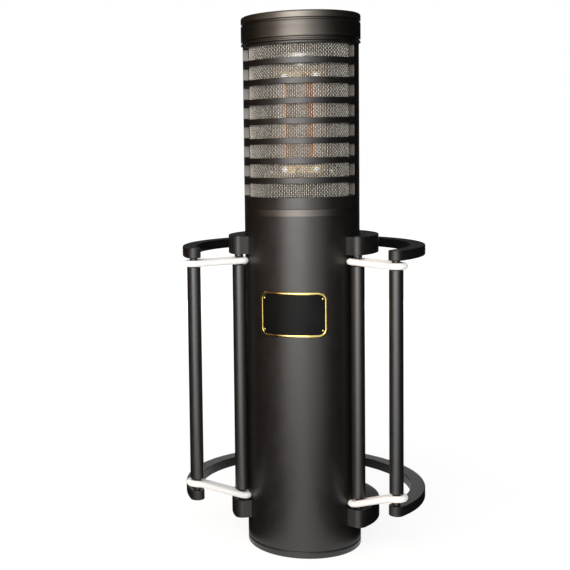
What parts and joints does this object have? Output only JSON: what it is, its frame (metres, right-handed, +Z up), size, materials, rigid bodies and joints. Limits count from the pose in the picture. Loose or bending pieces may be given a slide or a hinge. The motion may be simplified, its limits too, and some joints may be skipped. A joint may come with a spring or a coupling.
{
  "type": "ribbon microphone",
  "caption": "Tall cylindrical ribbon microphone with a slotted grille over woven mesh, hung on white elastic loops in an open rod-and-ring frame with a swivel stand socket.",
  "frame": {"origin": "centre of the base face, on the axis of the body and of the three-pin inlet", "axes": "+Z up the body's axis, -Y out of the front where the badge is, +X to the right seen from behind the object"},
  "size_m": [0.1264, 0.1313, 0.2788],
  "materials": {
    "black_enamel": "satin black enamel",
    "joint_metal": "dark burnished metal, a little brighter than the tubes",
    "frame_black": "satin black enamel",
    "screw_steel": "plain turned steel",
    "shell_nickel": "satin nickel plate",
    "insulator": "moulded black resin",
    "gold_plate": "polished gold-coloured plate",
    "panel_black": "gloss black enamel, bare",
    "woven_wire": "woven bright wire cloth",
    "chassis_metal": "plain milled aluminium",
    "soft_rubber": "soft black rubber",
    "yoke_copper": "copper-plated soft iron",
    "magnet_metal": "nickel-plated magnet",
    "ribbon_foil": "thin corrugated foil",
    "clamp_resin": "brown laminated resin",
    "board_green": "green glass-fibre laminate",
    "capacitor_sleeve": "dark blue shrink sleeve",
    "transistor_can": "plain metal can",
    "can_metal": "drawn screening can",
    "lead_wire": "dark insulated lead",
    "white_elastic": "white braided elastic",
    "knob_plastic": "moulded black resin"
  },
  "bodies": {
    "barrel": {"stand_barrel": "shell_nickel"},
    "swivel": {"swivel_arm": "frame_black"},
    "knob": {"locking_knob": "knob_plastic"},
    "frame": {"upper_ring": "frame_black", "lower_ring": "frame_black", "outer_rods": "frame_black", "spine_bar": "frame_black", "frame_screws": "screw_steel"},
    "microphone": {"base_plate": "black_enamel", "base_screws": "screw_steel", "inlet_shell": "shell_nickel", "inlet_insulator": "insulator", "inlet_pins": "gold_plate", "inlet_screws": "screw_steel", "body_tube": "black_enamel", "joint_ring": "joint_metal", "grille_tube": "black_enamel", "mesh_basket": "woven_wire", "cap_ring": "black_enamel", "cap_lid": "black_enamel", "lid_screws": "screw_steel", "motor_deck": "chassis_metal", "deck_screws": "screw_steel", "motor_isolators": "soft_rubber", "motor_bolts": "screw_steel", "motor_yoke": "yoke_copper", "left_magnet": "magnet_metal", "right_magnet": "magnet_metal", "left_pole": "yoke_copper", "right_pole": "yoke_copper", "ribbon": "ribbon_foil", "clamp_blocks": "clamp_resin", "clamp_bars": "gold_plate", "clamp_screws": "screw_steel", "top_plate": "chassis_metal", "top_screw": "screw_steel", "left_rail": "chassis_metal", "right_rail": "chassis_metal", "rail_screws": "screw_steel", "circuit_board": "board_green", "board_screws": "screw_steel", "capacitors": "capacitor_sleeve", "transistors": "transistor_can", "transformer_shelf": "chassis_metal", "transformer_can": "can_metal", "transformer_bolt": "screw_steel", "leads": "lead_wire", "badge_plate": "gold_plate", "badge_panel": "panel_black", "badge_rivets": "gold_plate", "upper_collar": "frame_black", "lower_collar": "frame_black", "collar_screws": "screw_steel", "left_inner_rod": "frame_black", "right_inner_rod": "frame_black", "rod_screws": "screw_steel", "upper_left_elastic": "white_elastic", "upper_right_elastic": "white_elastic", "lower_left_elastic": "white_elastic", "lower_right_elastic": "white_elastic"}
  },
  "joints": [
    {"name": "barrel_spin", "type": "hinge", "parent": "barrel", "child": "swivel", "pos_m": [0, 0.0835, 0.045], "axis": [0, 0, 1], "continuous": true},
    {"name": "stand_swivel", "type": "hinge", "parent": "swivel", "child": "frame", "pos_m": [0, 0.0835, 0.076], "axis": [-1, 0, 0], "range_deg": [-8, 110]},
    {"name": "knob_turn", "type": "hinge", "parent": "frame", "child": "knob", "pos_m": [0, 0.0835, 0.076], "axis": [-1, 0, 0], "range_deg": [0, 270]},
    {"name": "suspension_bounce", "type": "slide", "parent": "frame", "child": "microphone", "axis": [0, 0, 1], "range_m": [-0.003, 0.003], "stiffness_N_per_m": 8000, "springref_m": 0.002, "deforming": ["upper_left_elastic", "upper_right_elastic", "lower_left_elastic", "lower_right_elastic"]}
  ]
}
